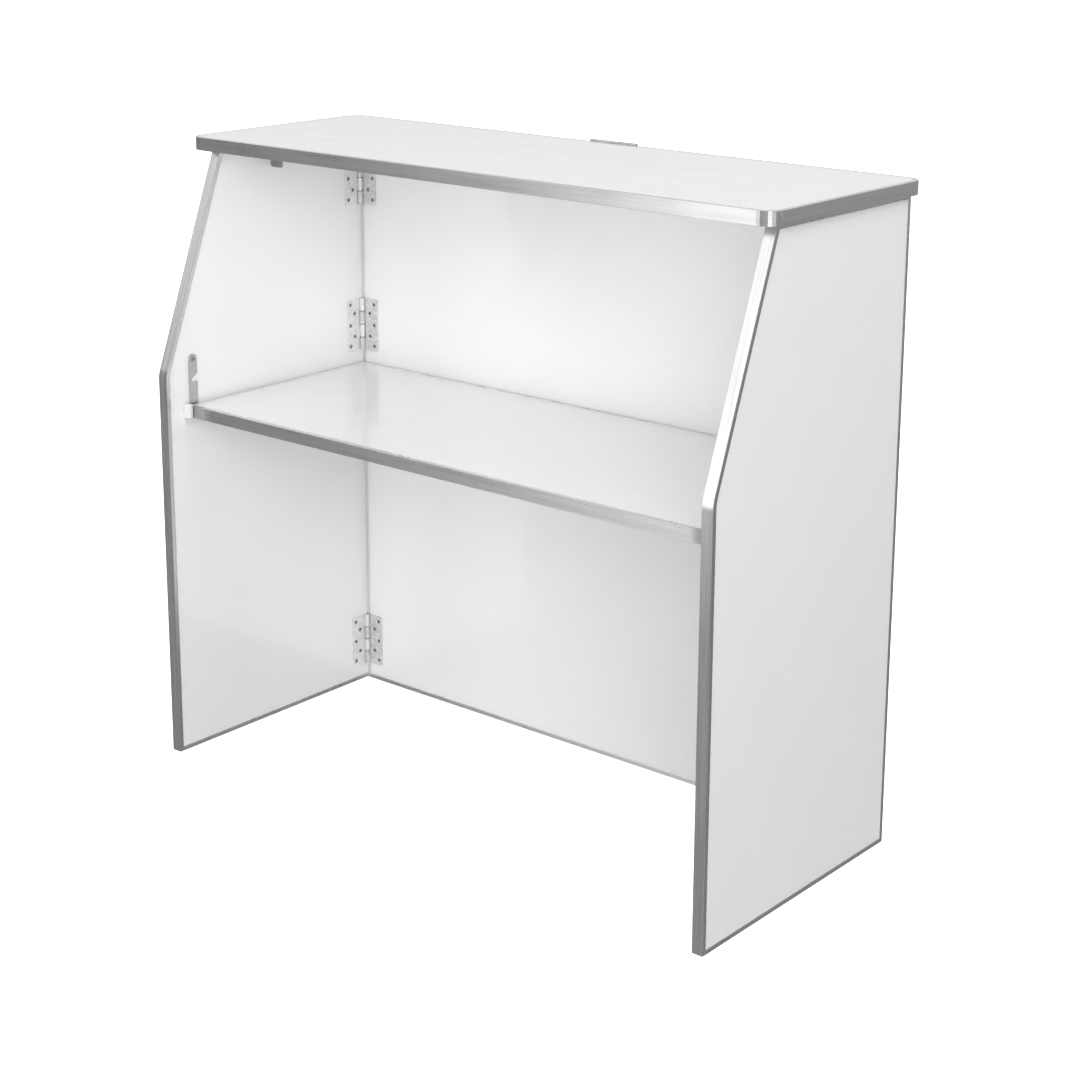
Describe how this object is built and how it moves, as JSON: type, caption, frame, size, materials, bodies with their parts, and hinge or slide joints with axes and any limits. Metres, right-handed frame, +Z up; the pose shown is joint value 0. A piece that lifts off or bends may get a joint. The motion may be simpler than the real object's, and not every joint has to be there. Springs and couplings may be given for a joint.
{
  "type": "folding bar counter",
  "caption": "Folding bar counter: hinged side panels, loose inner shelf and a flip-over worktop, white laminate boards edged with aluminium channel.",
  "frame": {"origin": "On the floor, under the middle of the whole counter's bounding box.", "axes": "+Z up, +Y towards the guests (the closed front panel), -Y towards the person who serves, +X to that person's right when facing +Y."},
  "size_m": [1.219, 0.5243, 1.1092],
  "materials": {
    "white_laminate": "semi-gloss white laminate on a wood-fibre core",
    "aluminium_trim": "brushed along its length, clear anodised",
    "zinc_steel": "zinc plated, slightly mottled",
    "white_nylon": "moulded, satin"
  },
  "bodies": {
    "front_panel": {"front_panel_board": "white_laminate", "front_panel_trim_bottom": "aluminium_trim", "front_panel_trim_right": "aluminium_trim", "front_panel_trim_top": "aluminium_trim", "front_panel_trim_left": "aluminium_trim", "shelf_rail": "aluminium_trim", "hinge_left_low_front_leaf": "zinc_steel", "hinge_left_low_pin": "zinc_steel", "hinge_left_middle_front_leaf": "zinc_steel", "hinge_left_middle_pin": "zinc_steel", "hinge_left_high_front_leaf": "zinc_steel", "hinge_left_high_pin": "zinc_steel", "hinge_right_low_front_leaf": "zinc_steel", "hinge_right_low_pin": "zinc_steel", "hinge_right_middle_front_leaf": "zinc_steel", "hinge_right_middle_pin": "zinc_steel", "hinge_right_high_front_leaf": "zinc_steel", "hinge_right_high_pin": "zinc_steel", "worktop_hinge_bracket": "zinc_steel", "worktop_hinge_pin": "zinc_steel"},
    "left_side": {"left_side_board": "white_laminate", "left_side_trim_rear": "aluminium_trim", "left_side_trim_top": "aluminium_trim", "left_side_trim_front": "aluminium_trim", "left_side_trim_bottom": "aluminium_trim", "hinge_left_low_side_leaf": "zinc_steel", "hinge_left_middle_side_leaf": "zinc_steel", "hinge_left_high_side_leaf": "zinc_steel", "shelf_rest_left": "white_nylon", "stay_screw_left": "zinc_steel"},
    "left_stay": {"shelf_stay_left": "zinc_steel"},
    "right_side": {"right_side_board": "white_laminate", "right_side_trim_rear": "aluminium_trim", "right_side_trim_top": "aluminium_trim", "right_side_trim_front": "aluminium_trim", "right_side_trim_bottom": "aluminium_trim", "hinge_right_low_side_leaf": "zinc_steel", "hinge_right_middle_side_leaf": "zinc_steel", "hinge_right_high_side_leaf": "zinc_steel", "shelf_rest_right": "white_nylon", "stay_screw_right": "zinc_steel"},
    "right_stay": {"shelf_stay_right": "zinc_steel"},
    "shelf": {"shelf_board": "white_laminate", "shelf_trim_front": "aluminium_trim", "shelf_trim_right": "aluminium_trim", "shelf_trim_rear": "aluminium_trim", "shelf_trim_left": "aluminium_trim"},
    "worktop": {"worktop_board": "white_laminate", "worktop_trim": "aluminium_trim", "worktop_hinge_leaf": "zinc_steel", "worktop_tab_left": "zinc_steel", "worktop_tab_right": "zinc_steel"}
  },
  "joints": [
    {"name": "left_side_fold", "type": "hinge", "parent": "front_panel", "child": "left_side", "pos_m": [-0.5658, 0.21865, 0.5], "axis": [0, 0, 1], "range_deg": [0, 0.3]},
    {"name": "right_side_fold", "type": "hinge", "parent": "front_panel", "child": "right_side", "pos_m": [0.5658, 0.21865, 0.5], "axis": [0, 0, -1], "range_deg": [0, 0.3]},
    {"name": "left_stay_swing", "type": "hinge", "parent": "left_side", "child": "left_stay", "pos_m": [-0.569, -0.20275, 0.7225], "axis": [1, 0, 0], "range_deg": [-4, 115]},
    {"name": "right_stay_swing", "type": "hinge", "parent": "right_side", "child": "right_stay", "pos_m": [0.569, -0.20275, 0.7225], "axis": [1, 0, 0], "range_deg": [-4, 115]},
    {"name": "shelf_tilt", "type": "hinge", "parent": "front_panel", "child": "shelf", "pos_m": [0, 0.22235, 0.6425], "axis": [-1, 0, 0], "range_deg": [0, 65]},
    {"name": "worktop_flip", "type": "hinge", "parent": "front_panel", "child": "worktop", "pos_m": [0, 0.25965, 1.1067], "axis": [-1, 0, 0], "range_deg": [0, 270]}
  ]
}
